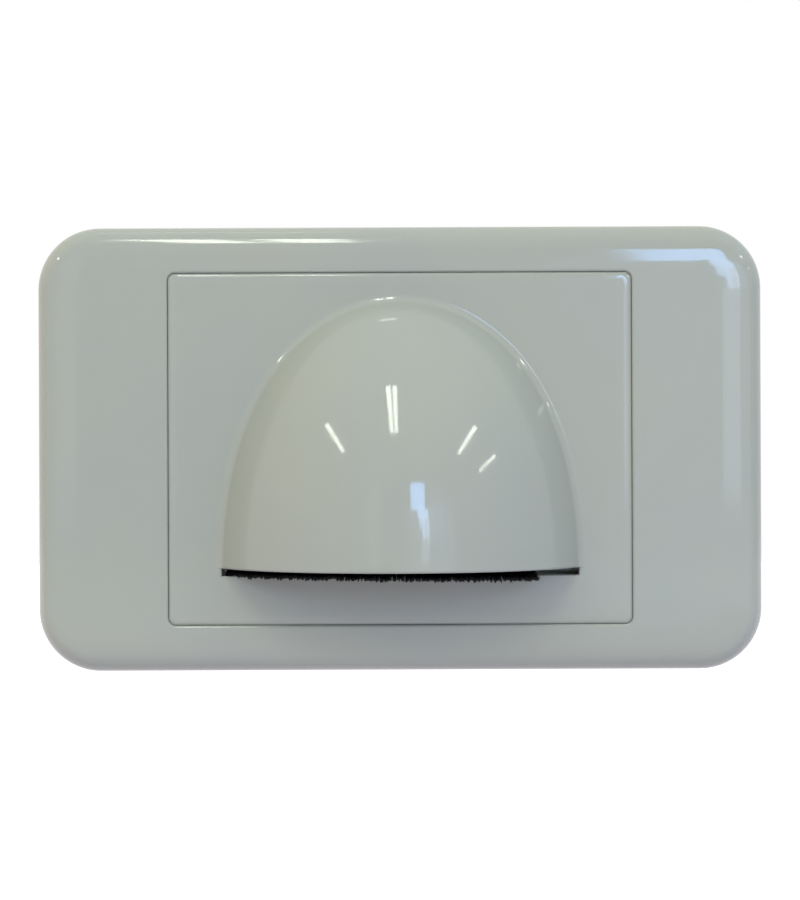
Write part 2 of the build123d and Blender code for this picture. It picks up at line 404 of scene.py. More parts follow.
@dataclass
class Surround:
    """Clip-on surround: a drafted shell with a rounded shoulder, an aperture, catches and a pry notch."""

    panel: Panel
    width: float
    height: float
    depth: float
    corner: float = 10.0
    # Crown of the face, turn of the shoulder, and the round down to the drafted side
    shoulder: tuple[ProfileArc, ...] = (
        ProfileArc(32.0, 7.1, 12),
        ProfileArc(8.8, 15.0, 6),
        ProfileArc(3.55, 89.0, 28),
    )
    face_slope_deg: float = 1.35
    # How much further out the shoulder swells at the two ends
    end_fullness: float = 1.1
    # Growth of the corner for each millimetre in from the side
    corner_softness: float = 0.15
    wall: float = 2.0
    cavity_bevel: float = 2.37
    aperture_round: float = 0.4
    rim_break: float = 0.15
    catch_spread: float = 60.0
    catch_length: float = 8.0
    catch_thickness: float = 1.0
    catch_grip: float = 1.0
    catch_play: float = 0.1
    flange_clearance: float = 0.4
    notch_width: float = 10.0
    notch_depth: float = 1.2
    corner_steps: int = 24
    round_steps: int = 8

    def rings(self) -> list[RoundedRing]:
        """Rings of the shell's section, from the outer rim over the front and back along the inside.

        Returns:
            The rings in order.
        """
        slope = math.tan(math.radians(90 - self.shoulder[-1].end_deg))
        outer = RoundedRing(self.width / 2, self.height / 2, self.corner, 0)
        rings = [outer.inset(self.rim_break, 0), outer.inset(self.rim_break * slope, self.rim_break)]
        path = profile_path(self.shoulder, self.face_slope_deg)
        full_out, full_drop = path[-1]
        side_inset = (self.depth - full_drop) * slope
        for out, drop in reversed(path):
            inset = side_inset + full_out - out
            fuller = self.end_fullness * math.sin(math.pi * out / full_out) ** 2
            ring = outer.inset(inset, self.depth - drop)
            softer = ring.corner + self.corner_softness * (inset - side_inset)
            rings.append(replace(ring, half_width=ring.half_width + fuller, corner=softer))

        aperture = self.panel.aperture(self.depth)
        for angle in arc(self.round_steps):
            grow = self.aperture_round * (1 - math.sin(angle))
            rings.append(aperture.inset(-grow, self.depth - self.aperture_round * (1 - math.cos(angle))))

        cavity_depth = self.depth - self.wall
        bevel_depth = cavity_depth - self.cavity_bevel
        cavity = outer.inset(self.wall, 0)
        rings.append(self.panel.aperture(cavity_depth))
        rings.append(cavity.inset(cavity_depth * slope + self.cavity_bevel, cavity_depth))
        rings.append(cavity.inset(bevel_depth * slope, bevel_depth))
        rings.append(cavity.inset(self.rim_break * slope, self.rim_break))
        rings.append(cavity.inset(-self.rim_break, 0))
        return rings

    def shell(self) -> bpy.types.Object:
        """The shell before its catches and notch, as one closed loft of its rings.

        Returns:
            The shell.
        """
        builder = MeshBuilder("surround_cover")
        rows = [builder.row(ring.points(self.corner_steps)) for ring in self.rings()]
        builder.loft(rows + rows[:1])
        return builder.object()

    def catches(self) -> list[bpy.types.Object]:
        """Four bevelled catches on the upper and lower walls.

        Returns:
            Closed bars to join to the shell.
        """
        inner = self.height / 2 - self.wall
        root = inner + self.wall / 2
        tip = inner - self.flange_clearance - self.catch_grip
        front = self.catch_play + self.catch_thickness
        made = []
        for side in (-1, 1):
            outline = (
                (-front, side * root),
                (-front, side * tip),
                (-front + self.catch_thickness / 2, side * tip),
                (-self.catch_play, side * (tip + self.catch_grip)),
                (-self.catch_play, side * root),
            )
            for x in (-self.catch_spread / 2, self.catch_spread / 2):
                made.append(cross_bar("catch", outline, x, self.catch_length))
        return made

    def notch(self) -> bpy.types.Object:
        """Cutter of the pry notch in the lower rim.

        Returns:
            The cutter.
        """
        reach = self.wall + self.flange_clearance
        bottom = -self.height / 2
        half = self.notch_width / 2
        low = (-half, -self.notch_depth, bottom - reach)
        high = (half, self.notch_depth, bottom + reach)
        return block("notch", low, high)

    def build(self, finish: bpy.types.Material) -> bpy.types.Object:
        """Make the surround and put it in place of its CAD node.

        Args:
            finish: Its material.

        Returns:
            The surround.
        """
        made = self.shell()
        combine(made, Cut.JOIN, self.catches())
        combine(made, Cut.AWAY, [self.notch()])
        shade(made)
        return dress(made, finish, "surround")


@dataclass
class Bullnose:
    """Hood of the grid plate: an oval turned about an upright axis behind the panel's face."""

    face_depth: float
    width: float = 57.0
    height: float = 42.6
    reach: float = 18.0
    # Pull of the oval's curve towards the corner of its box
    fullness: float = 0.6
    wall: float = 2.0
    root_fillet: float = 1.7
    lip_round: float = 0.4
    mouth: float = -19.0
    slot_inset: float = 0.1
    rows: int = 90
    columns: int = 120
    lip_rows: int = 7
    root_rows: int = 10
    # Steps of the search for a place on the curve, and the share over which its slope is taken
    halvings: int = 50
    nudge: float = 1e-5

    radius: float = field(init=False)
    setback: float = field(init=False)
    rise: float = field(init=False)
    axis_y: float = field(init=False)

    def __post_init__(self) -> None:
        """Work out the oval from the hood's size on the panel."""
        self.radius = ((self.width / 2) ** 2 + self.reach**2) / (2 * self.reach)
        self.setback = self.radius - self.reach
        self.axis_y = self.setback - self.face_depth
        self.rise = 1.0
        end = self.share_where(lambda share: self.oval(share)[0] < self.setback)
        self.rise = self.height / self.oval(end)[1]

    @property
    def slot_half(self) -> float:
        """Half of the width of the slot under the mouth."""
        return self.width / 2 - self.slot_inset

    def share_where(self, passed: Callable[[float], bool]) -> float:
        """Share of the oval's curve at which a test begins to pass.

        Args:
            passed: The test, which fails at the start of the curve.

        Returns:
            The share.
        """
        low, high = 0.0, 1.0
        for _ in range(self.halvings):
            middle = (low + high) / 2
            low, high = (low, middle) if passed(middle) else (middle, high)
        return high

    def oval(self, share: float, less: float = 0.0) -> tuple[float, float]:
        """Radius about the axis and height above the mouth on the oval.

        Args:
            share: Share of the curve, from the mouth at 0 to the axis at 1.
            less: How much further in than the outside the surface lies.

        Returns:
            The radius and the height.
        """
        rest = 1 - share
        wide = rest**3 + 3 * rest**2 * share + 3 * rest * share**2 * self.fullness
        tall = 3 * rest**2 * share * self.fullness + 3 * rest * share**2 + share**3
        return (self.radius - less) * wide, (self.rise - less) * tall

    def outwards(self, share: float) -> tuple[float, float]:
        """Unit vector that points out of the oval.

        Args:
            share: Share of the curve.

        Returns:
            Its parts along the radius and upwards.
        """
        before = self.oval(share - self.nudge)
        after = self.oval(share + self.nudge)
        wide, tall = after[1] - before[1], before[0] - after[0]
        length = math.hypot(wide, tall)
        return wide / length, tall / length

    def slice(self, radius: float, above: float, turn: float) -> list[Point]:
        """Arc about the axis at one height.

        Args:
            radius: Radius of the arc.
            above: Height above the mouth.
            turn: Angle from the middle to each end.

        Returns:
            Points from left to right.
        """
        level = self.mouth + above
        turns = [turn * (2 * i / self.columns - 1) for i in range(self.columns + 1)]
        return [(radius * math.sin(t), self.axis_y - radius * math.cos(t), level) for t in turns]

    def lip_trim(self, above: float) -> float:
        """How far the lip's round draws the outside in at this height above the mouth."""
        left = max(self.lip_round - above, 0.0)
        return self.lip_round - math.sqrt(self.lip_round**2 - left**2)

    def core(self, back_depth: float, below: float) -> bpy.types.Object:
        """Cutter of the hood's hollow.

        Args:
            back_depth: Depth of the upright plane that closes the cutter at the back.
            below: How far the cutter reaches below the mouth.

        Returns:
            The cutter.
        """
        setback = self.axis_y + back_depth
        end = self.share_where(lambda share: self.oval(share, self.wall)[0] < setback)
        builder = MeshBuilder("hood_core")
        places = []
        for angle in arc(self.rows)[:-1]:
            radius, above = self.oval(end * math.sin(angle), self.wall)
            places.append(self.slice(radius, above, math.acos(setback / radius)))
        floor = [(x, y, z - below) for x, y, z in places[0]]
        rows = [builder.row(row) for row in [floor] + places]
        top_radius, top = self.oval(end, self.wall)
        apex = builder.point((0.0, self.axis_y - top_radius, self.mouth + top))
        rows.append([apex] * (self.columns + 1))
        builder.loft(rows, closed=False)
        builder.face([row[0] for row in rows] + [row[-1] for row in reversed(rows[:-1])])
        builder.face(rows[0])
        return builder.object()

    def root_arc(self, share: float, side: int) -> list[Point]:
        """Section of the root fillet: a ball that rolls between the hood and the panel.

        Args:
            share: Place on the oval where the ball touches the hood.
            side: 1 on the right of the hood and -1 on its left.

        Returns:
            Points from the hood to the panel.
        """
        radius, above = self.oval(share)
        wide, tall = self.outwards(share)
        ball_radius = radius + self.root_fillet * wide
        turn = math.acos(min((self.setback + self.root_fillet) / ball_radius, 1.0))
        centre = Vector(
            (
                side * ball_radius * math.sin(turn),
                self.axis_y - ball_radius * math.cos(turn),
                self.mouth + above + self.root_fillet * tall,
            )
        )
        to_hood = Vector((-side * wide * math.sin(turn), wide * math.cos(turn), -tall))
        to_panel = Vector((0.0, 1.0, 0.0))
        places = []
        for i in range(self.root_rows + 1):
            done = i / self.root_rows
            place = centre + to_hood.slerp(to_panel, done) * self.root_fillet
            place.x -= side * (1 - done) * self.lip_trim(above)
            places.append(tuple(place))
        return places

    def skin(self, builder: MeshBuilder) -> list[bmesh.types.BMVert]:
        """Add the outside of the hood with its lip, root fillet and underside.

        Args:
            builder: Mesh that the hood is added to.

        Returns:
            The ring where the root fillet ends on the panel, from its lower right end over the top.
        """
        reach = self.setback + self.root_fillet

        def ball_inside(share: float) -> bool:
            """Whether the ball that rolls in the root would lie past the hood's middle."""
            return self.oval(share)[0] + self.root_fillet * self.outwards(share)[0] < reach

        end = self.share_where(ball_inside)
        lip = self.share_where(lambda share: self.oval(share)[1] > self.lip_round)
        shares = [lip * (1 - math.cos(a)) for a in arc(self.lip_rows)]
        first_deg = math.degrees(math.asin(lip / end))
        shares += [end * math.sin(a) for a in arc(self.rows, first_deg, 90)[1:-1]]
        rows = []
        for share in shares:
            radius, above = self.oval(share)
            ball_radius = radius + self.root_fillet * self.outwards(share)[0]
            row = self.slice(radius - self.lip_trim(above), above, math.acos(reach / ball_radius))
            rows.append(builder.row(row))
        apex_root = builder.row(self.root_arc(end, 1))
        rows.append([apex_root[0]] * (self.columns + 1))
        builder.loft(rows, closed=False)

        right = [[row[-1]] + builder.row(self.root_arc(s, 1)[1:]) for s, row in zip(shares, rows)]
        left = [[row[0]] + builder.row(self.root_arc(s, -1)[1:]) for s, row in zip(shares, rows)]
        sections = right + [apex_root] + left[::-1]
        builder.loft(sections, closed=False)
        builder.face(left[0][::-1] + rows[0][1:-1] + right[0])
        return [section[-1] for section in sections]


@dataclass
class BrushSeat:
    """Shelf, cheeks, end walls, pocket and snap fingers behind the panel that hold the strip brush."""

    slot_half: float
    panel_back: float
    shelf_level: float
    slot_top: float
    channel_low: Point
    channel_high: Point
    shelf_thickness: float = 1.5
    play: float = 0.1
    finger_width: float = 5.0
    finger_thickness: float = 1.2
    finger_hook: float = 0.8
    hook_edge: float = 0.4
    hook_height: float = 1.2
    finger_spacing: float = 17.0
    finger_count: int = 3
    cheek: float = 1.2
    lap: float = 2.0
    end_gap: float = 0.5
    end_wall: float = 0.6
    back_depth: float = 0.1
    # How far a block is let into what carries it
    root: float = 0.5
    # Step between the faces of blocks that are joined, so that no two coincide
    step: float = 0.02

    @property
    def hook_level(self) -> float:
        """Level of the underside of the fingers' hooks, just over the channel."""
        return self.channel_high[2] + self.play

    def walls(self) -> list[bpy.types.Object]:
        """Shelf, cheeks, end walls, and the roof and front of the pocket at the brush's free end.

        Returns:
            Closed blocks to join to the plate.
        """
        step = self.step
        half = self.slot_half + self.cheek
        inner, outer = self.slot_half + step, half - step
        front = -self.panel_back - self.root
        back = -self.back_depth - step
        foot = self.shelf_level - self.root
        hook = self.hook_level
        brush_left, brush_right = self.channel_low[0], self.channel_high[0]
        shelf_bottom = self.shelf_level - self.shelf_thickness
        made = [block("shelf", (-half, front, shelf_bottom), (half, -self.back_depth, self.shelf_level))]
        for left, right in ((-outer, -inner), (inner, outer)):
            made.append(block("cheek", (left, front + step, foot), (right, back, hook)))
        for left, right in ((-outer + step, brush_left + self.lap), (brush_right - self.lap, outer - step)):
            low = (left, back - self.end_wall, foot)
            made.append(block("end_wall", low, (right, back - step, hook - step)))
        low = (brush_right - self.lap - step, front + 2 * step, hook - 2 * step)
        high = (half - 2 * step, back - 2 * step, hook + self.finger_thickness)
        made.append(block("pocket_roof", low, high))
        low = (brush_right + self.end_gap, front + 3 * step, self.slot_top + step)
        high = (inner + self.cheek / 2, -self.panel_back + self.finger_thickness, hook + step)
        made.append(block("pocket_front", low, high))
        return made

    def fingers(self) -> list[bpy.types.Object]:
        """Snap fingers that stand on the shelf behind the channel and hook over it.

        Returns:
            Closed bars to join to the plate.
        """
        face = self.channel_high[1] + self.play
        back = face + self.finger_thickness - self.step
        hook = self.hook_level
        foot = self.shelf_level - self.shelf_thickness / 2
        outline = (
            (face, foot),
            (face, hook),
            (face - self.finger_hook, hook),
            (face - self.finger_hook, hook + self.hook_edge),
            (face, hook + self.hook_height),
            (back, hook + self.hook_height),
            (back, foot),
        )
        middle = (self.channel_low[0] + self.channel_high[0]) / 2
        first = middle - (self.finger_count - 1) / 2 * self.finger_spacing
        places = [first + i * self.finger_spacing for i in range(self.finger_count)]
        return [cross_bar("finger", outline, x, self.finger_width) for x in places]

    def build(self) -> list[bpy.types.Object]:
        """All that is joined to the plate to hold the brush."""
        return self.walls() + self.fingers()


@dataclass
class HoodPlate:
    """Grid plate: panel, hood, skirt, flange with two screw slots, and the seat of the brush."""

    panel: Panel
    hood: Bullnose
    seat: BrushSeat
    flange_half_width: float
    flange_half_height: float
    face_depth: float
    flange_corner: float = 7.6
    flange_thickness: float = 2.5
    skirt_wall: float = 2.0
    hollow_corner: float = 1.0
    edge_break: float = 0.15
    screw_centres: float = 84.0
    screw_width: float = 4.0
    screw_length: float = 6.4
    slot_drop: float = 1.2
    slot_break: float = 0.15
    rebate_spread: float = 60.0
    rebate_length: float = 8.4
    rebate_height: float = 1.2
    rebate_depth: float = 1.2
    # How far a cutter reaches past the mouth's edge and past open faces
    cutter_play: float = 0.05
    overrun: float = 0.6
    # Points closer than this are one
    weld: float = 0.005
    corner_steps: int = 14
    screw_steps: int = 24

    def rings(self) -> list[RoundedRing]:
        """Rings from the edge of the panel's face, down the skirt, round the flange and into the hollow.

        Returns:
            The rings in order.
        """
        path = profile_path(self.panel.edge)
        rings = []
        for out, drop in path:
            inset = path[-1][0] - out
            ring = self.panel.ring(0).inset(inset, self.face_depth - drop)
            rings.append(replace(ring, corner=self.panel.corner + self.panel.corner_softness * inset))
        rings.append(self.panel.ring(self.flange_thickness))
        flange = RoundedRing(self.flange_half_width, self.flange_half_height, self.flange_corner, 0)
        rings.append(flange.inset(self.edge_break, self.flange_thickness))
        rings.append(flange.inset(0, self.flange_thickness - self.edge_break))
        rings.append(flange.inset(0, self.edge_break))
        rings.append(flange.inset(self.edge_break, 0))
        skirt = self.panel.ring(0).inset(self.skirt_wall, 0)
        hollow = replace(skirt, corner=self.hollow_corner)
        rings.append(hollow.inset(-self.edge_break, 0))
        rings.append(hollow.inset(0, self.edge_break))
        rings.append(hollow.inset(0, self.face_depth - self.panel.wall))
        return rings

    def body(self) -> bpy.types.Object:
        """The plate with a solid hood, before its cuts.

        Returns:
            The plate.
        """
        builder = MeshBuilder("hood_plate_moulding")
        root = self.hood.skin(builder)
        rows = [builder.row(ring.points(self.corner_steps)) for ring in self.rings()]
        builder.loft(rows)
        builder.face(rows[-1])
        bounds = []
        for loop in (root, rows[0]):
            for i, vertex in enumerate(loop):
                pair = (loop[i - 1], vertex)
                bounds.append(builder.mesh.edges.get(pair) or builder.mesh.edges.new(pair))
        bmesh.ops.triangle_fill(builder.mesh, use_beauty=True, edges=bounds)
        return builder.object()

    def screw_slot(self, x: float) -> bpy.types.Object:
        """Cutter of one screw slot, a rounded slot through the flange.

        Args:
            x: Middle of the slot.

        Returns:
            The cutter.
        """
        half = self.screw_width / 2
        ring = RoundedRing(self.screw_length / 2, half, half, 0)
        builder = MeshBuilder("screw_slot")
        rings = []
        for depth in (-self.overrun, self.flange_thickness + self.overrun):
            places = ring.inset(0, depth).points(self.screw_steps)
            rings.append(builder.row([(px + x, py, pz) for px, py, pz in places]))
        builder.capped_loft(rings)
        bmesh.ops.remove_doubles(builder.mesh, verts=builder.mesh.verts, dist=MM * self.weld)
        return builder.object()

    def cable_slot(self, back: float) -> bpy.types.Object:
        """Cutter of the slot under the mouth, with its front edges broken.

        Args:
            back: Depth of the panel's back.

        Returns:
            The cutter.
        """
        half = self.seat.slot_half
        top = self.hood.mouth + self.cutter_play
        bottom = self.hood.mouth - self.slot_drop
        steps = (
            (back - self.overrun, 0.0),
            (self.face_depth - self.slot_break, 0.0),
            (self.face_depth + self.overrun, self.overrun + self.slot_break),
        )
        builder = MeshBuilder("cable_slot")
        rings = []
        for depth, grow in steps:
            left, right, low = -half - grow, half + grow, bottom - grow
            corners = ((left, low), (right, low), (right, top), (left, top))
            rings.append(builder.row([(x, -depth, z) for x, z in corners]))
        builder.capped_loft(rings)
        return builder.object()

    def cutters(self) -> list[bpy.types.Object]:
        """Everything that is cut out of the plate: hollow, slot, screw slots and rebates.

        Returns:
            Closed meshes.
        """
        back = self.face_depth - self.panel.wall
        made = [self.hood.core(back - self.overrun / 2, self.overrun), self.cable_slot(back)]
        half = self.rebate_length / 2
        for side in (-1, 1):
            made.append(self.screw_slot(side * self.screw_centres / 2))
            z = side * self.flange_half_height
            for x in (-self.rebate_spread / 2, self.rebate_spread / 2):
                low = (x - half, -self.rebate_depth, z - self.rebate_height)
                high = (x + half, self.overrun, z + self.rebate_height)
                made.append(block("rebate", low, high))
        return made

    def build(self, finish: bpy.types.Material) -> bpy.types.Object:
        """Make the plate and put it in place of its CAD node.

        Args:
            finish: Its material.

        Returns:
            The plate.
        """
        made = self.body()
        combine(made, Cut.AWAY, self.cutters())
        combine(made, Cut.JOIN, self.seat.build())
        shade(made)
        return dress(made, finish, "hood_plate")


@dataclass
class StripBrush:
    """Bristles of the strip brush: filaments folded round the core wire and held by the channel."""

    hood: Bullnose
    start: float
    end: float
    wire_y: float
    wire_z: float
    bundle_half: float
    tuft_pitch: float = 0.32
    tuft_filaments: int = 29
    tuft_half: float = 0.06
    # Share of the filaments that stand between the tufts, and how much less those hang
    loose_share: float = 0.5
    loose_rise: float = 0.1
    thickness: float = 0.12
    sides: int = 3
    fold_steps: int = 2
    leg_steps: int = 2
    wire_radius: float = 0.63
    # Room between the tips and the lip, and how far behind the panel's face a tip ends at most
    tip_gap: float = 0.3
    tip_setback: float = 1.5
    ragged: float = 0.3
    # How far tips hang at the left end, how much more at the right and less in the middle, and the spread
    droop: float = 0.42
    droop_gain: float = 0.42
    droop_middle: float = 0.27
    droop_spread: float = 0.1
    stray: float = 0.05
    lean: float = 0.05
    # How far the last tufts fan out towards the free end, and over what length
    fan: float = 0.6
    fan_zone: float = 1.0
    seed: int = 7

    def reach(self, x: float) -> float:
        """Depth of the inside of the lip at this x."""
        inner = self.hood.radius - self.hood.wall - self.tip_gap
        return math.sqrt(max(inner**2 - x**2, 0.0)) - self.hood.axis_y

    def leg(self, x: float, rest: float, lean: float, sag: float, short: float) -> list[Point]:
        """Centre line of half a filament, from the wire to its tip.

        Args:
            x: Place along the brush.
            rest: Level at which the filament leaves the channel.
            lean: How far the tip leans along the brush.
            sag: How far the tip hangs down.
            short: How much shorter the filament is than the space in front of it.

        Returns:
            Points from the wire outwards.
        """
        back = -self.wire_y
        length = max(self.reach(x + lean) - short, self.hood.face_depth - self.tip_setback) - back
        shares = [i / self.leg_steps for i in range(1, self.leg_steps + 1)]
        return [(x + lean * s**2, -back - length * s, rest - sag * s**2) for s in shares]

    def tuft(self, middle: float, draw: random.Random) -> list[list[Point]]:
        """Centre lines of a tuft's filaments, each from its lower tip round the wire to its upper tip.

        Args:
            middle: Place of the tuft along the brush.
            draw: Source of the unevenness.

        Returns:
            One line of points for each filament.
        """
        near_end = max(0.0, 1 - (self.end - middle) / self.fan_zone)
        lean = draw.gauss(0, self.lean)
        fan = self.fan * near_end**2
        along = (middle - self.start) / (self.end - self.start)
        # Nil at both ends and full in the middle
        middle_rise = 4 * self.droop_middle * along * (1 - along)
        sag = self.droop + self.droop_gain * along - middle_rise + draw.gauss(0, self.droop_spread)
        short = self.ragged * draw.random() ** 2
        lines = []
        for _ in range(self.tuft_filaments):
            loose = draw.random() < self.loose_share
            half = self.tuft_pitch / 2 if loose else self.tuft_half
            x = min(max(middle + draw.uniform(-half, half), self.start), self.end)
            layer = draw.uniform(self.wire_radius, self.bundle_half - self.thickness / 2)
            fold = [
                (x, self.wire_y + layer * math.sin(a), self.wire_z - layer * math.cos(a))
                for a in arc(self.fold_steps, 0, 180)
            ]
            legs = []
            for side in (-1, 1):
                own_lean = lean + fan * draw.random() ** 2 + draw.gauss(0, self.stray)
                own_sag = sag + draw.gauss(0, self.stray) - (self.loose_rise if loose else 0.0)
                own_short = short + abs(draw.gauss(0, self.stray))
                legs.append(self.leg(x, self.wire_z + side * layer, own_lean, own_sag, own_short))
            lines.append(legs[0][::-1] + fold + legs[1])
        return lines

    def sweep(self, builder: MeshBuilder, places: Sequence[Point]) -> None:
        """Add one filament.

        Args:
            builder: Mesh that the filament is added to.
            places: Its centre line.
        """
        line = [Vector(place) for place in places]
        turns = [2 * math.pi * k / self.sides for k in range(self.sides)]
        brush_way = Vector((1, 0, 0))
        rings = []
        for i, place in enumerate(line):
            along = (line[min(i + 1, len(line) - 1)] - line[max(i - 1, 0)]).normalized()
            across = (brush_way - along * brush_way.dot(along)).normalized()
            third = along.cross(across)
            spokes = [across * math.cos(t) + third * math.sin(t) for t in turns]
            rings.append(builder.row([place + spoke * self.thickness / 2 for spoke in spokes]))
        builder.capped_loft(rings)

    def build(self, finish: bpy.types.Material) -> bpy.types.Object:
        """Make all the filaments as one piece and put it in place of its CAD node.

        Args:
            finish: Its material.

        Returns:
            The bristles.
        """
        draw = random.Random(self.seed)
        builder = MeshBuilder("brush_filaments")
        tufts = int((self.end - self.start) / self.tuft_pitch)
        spread = (self.end - self.start) / tufts
        for i in range(tufts):
            for filament in self.tuft(self.start + (i + 0.5) * spread, draw):
                self.sweep(builder, filament)
        made = builder.object()
        made.data.shade_smooth()
        return dress(made, finish, "brush_bristles")


@dataclass(frozen=True)
class MouldedAbs:
    """Gloss ABS, greyish white, injection moulded in a polished tool."""

    # To the eye: an even pale body under sharp mirror images of the lamps, which waver a little where the
    # wall has shrunk, a hint of flow in the colour, and patches that handling has made less glossy
    name: str = "moulded_abs"
    colour: str = "#A2A7A1"
    tint: str = "#A5A99F"
    flow_mm: float = 24.0
    flow_detail: float = 3.0
    flow_range: tuple[float, float] = (0.3, 0.7)
    ior: float = 1.46
    roughness: float = 0.05
    roughness_spread: float = 0.03
    mark_mm: float = 1.8
    mark_detail: float = 6.0
    mark_range: tuple[float, float] = (0.35, 0.7)
    wave_mm: float = 15.0
    wave_detail: float = 1.0
    wave_height_mm: float = 0.0018

    def material(self) -> bpy.types.Material:
        """Build the material.

        Returns:
            The material.
        """
        made = bpy.data.materials.new(self.name)
        tree = fresh_tree(made)
        place = add_node(tree, "ShaderNodeTexCoord").outputs["Object"]
        patterns = (
            (self.flow_mm, self.flow_detail),
            (self.mark_mm, self.mark_detail),
            (self.wave_mm, self.wave_detail),
        )
        flow, marks, wave = (
            add_node(
                tree, "ShaderNodeTexNoise", {"Vector": place, "Scale": 1 / (size * MM), "Detail": detail}
            ).outputs["Fac"]
            for size, detail in patterns
        )
        shades = add_node(
            tree, "ShaderNodeValToRGB", {"Fac": flow}, zip(self.flow_range, (self.colour, self.tint))
        )
        gloss = add_node(
            tree,
            "ShaderNodeMapRange",
            {
                "Value": marks,
                "From Min": self.mark_range[0],
                "From Max": self.mark_range[1],
                "To Min": self.roughness,
                "To Max": self.roughness + self.roughness_spread,
            },
        )
        skin = add_node(
            tree,
            "ShaderNodeBump",
            {"Height": wave, "Strength": 1.0, "Distance": self.wave_height_mm * MM},
        )
        shader = add_node(
            tree,
            "ShaderNodeBsdfPrincipled",
            {
                "Base Color": shades.outputs["Color"],
                "Roughness": gloss.outputs["Result"],
                "Normal": skin.outputs["Normal"],
                "IOR": self.ior,
            },
        )
        add_node(tree, "ShaderNodeOutputMaterial", {"Surface": shader.outputs["BSDF"]})
        return made


@dataclass(frozen=True)
class DrawnSteel:
    """Steel strip or wire, rolled or drawn along X."""

    # To the eye: a grey metal with a broad soft shine and fine streaks that run along the brush
    name: str
    colour: str
    dark: str
    roughness: float
    # Real drawing lines are a few hundredths of a millimetre apart, too fine to show, and are drawn coarser
    streak_mm: float = 0.12
    streak_length_mm: float = 6.0
    streak_height_mm: float = 0.004
    streak_strength: float = 0.5
    streak_detail: float = 3.0
    shade_range: tuple[float, float] = (0.3, 0.65)
    roughness_range: tuple[float, float] = (-0.08, 0.1)

    def material(self) -> bpy.types.Material:
        """Build the material.

        Returns:
            The material.
        """
        made = bpy.data.materials.new(self.name)
        tree = fresh_tree(made)
        place = add_node(tree, "ShaderNodeTexCoord").outputs["Object"]
        along = 1 / (self.streak_length_mm * MM)
        across = 1 / (self.streak_mm * MM)
        drawn = add_node(tree, "ShaderNodeMapping", {"Vector": place, "Scale": (along, across, across)})
        streaks = add_node(
            tree,
            "ShaderNodeTexNoise",
            {"Vector": drawn.outputs["Vector"], "Scale": 1.0, "Detail": self.streak_detail},
        ).outputs["Fac"]
        shades = add_node(
            tree, "ShaderNodeValToRGB", {"Fac": streaks}, zip(self.shade_range, (self.dark, self.colour))
        )
        smoothest, roughest = (self.roughness + change for change in self.roughness_range)
        gloss = add_node(
            tree, "ShaderNodeMapRange", {"Value": streaks, "To Min": smoothest, "To Max": roughest}
        )
        relief = {
            "Height": streaks,
            "Strength": self.streak_strength,
            "Distance": self.streak_height_mm * MM,
        }
        skin = add_node(tree, "ShaderNodeBump", relief)
        shader = add_node(
            tree,
            "ShaderNodeBsdfPrincipled",
            {
                "Base Color": shades.outputs["Color"],
                "Roughness": gloss.outputs["Result"],
                "Normal": skin.outputs["Normal"],
                "Metallic": 1.0,
            },
        )
        add_node(tree, "ShaderNodeOutputMaterial", {"Surface": shader.outputs["BSDF"]})
        return made


@dataclass(frozen=True)
class BlackNylon:
    """Black nylon filament, extruded smooth and cut to length."""

    # To the eye: a deep black with hardly any shine, a shade paler where dust lies among the tips
    name: str = "black_nylon"
    colour: str = "#090808"
    dusty: str = "#121010"
    dust_range: tuple[float, float] = (0.4, 0.75)
    clump_mm: float = 0.7
    clump_detail: float = 2.0
    roughness: float = 0.7
    ior: float = 1.4

    def material(self) -> bpy.types.Material:
        """Build the material.

        Returns:
            The material.
        """
        made = bpy.data.materials.new(self.name)
        tree = fresh_tree(made)
        place = add_node(tree, "ShaderNodeTexCoord").outputs["Object"]
        clumps = add_node(
            tree,
            "ShaderNodeTexNoise",
            {"Vector": place, "Scale": 1 / (self.clump_mm * MM), "Detail": self.clump_detail},
        ).outputs["Fac"]
        shades = add_node(
            tree, "ShaderNodeValToRGB", {"Fac": clumps}, zip(self.dust_range, (self.colour, self.dusty))
        )
        shader = add_node(
            tree,
            "ShaderNodeBsdfPrincipled",
            {"Base Color": shades.outputs["Color"], "IOR": self.ior, "Roughness": self.roughness},
        )
        add_node(tree, "ShaderNodeOutputMaterial", {"Surface": shader.outputs["BSDF"]})
        return made


def dress(piece: bpy.types.Object, finish: bpy.types.Material, node: str) -> bpy.types.Object:
    """Give a piece its finish, let it ride on the part and put it in place of a CAD node.

    Args:
        piece: The new piece.
        finish: Its material.
        node: The CAD node that the piece stands for.

    Returns:
        The piece.
    """
    piece.data.materials.clear()
    piece.data.materials.append(finish)
    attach(piece, "root")
    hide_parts(node)
    LOG.info("%s: %d faces", piece.name, len(piece.data.polygons))
    return piece


@dataclass(frozen=True)
class CeilingTube:
    """Lamp under the ceiling: its middle, width along X and length along Y, in metres."""

    x: float
    y: float
    width: float
    length: float
    radiance: float = 17.0


@dataclass(frozen=True)
class WindowPane:
    """Bright pane to the front, given by the directions that it fills as seen from the plate."""

    azimuth_deg: tuple[float, float]
    elevation_deg: tuple[float, float]
    radiance: float
    colour: str


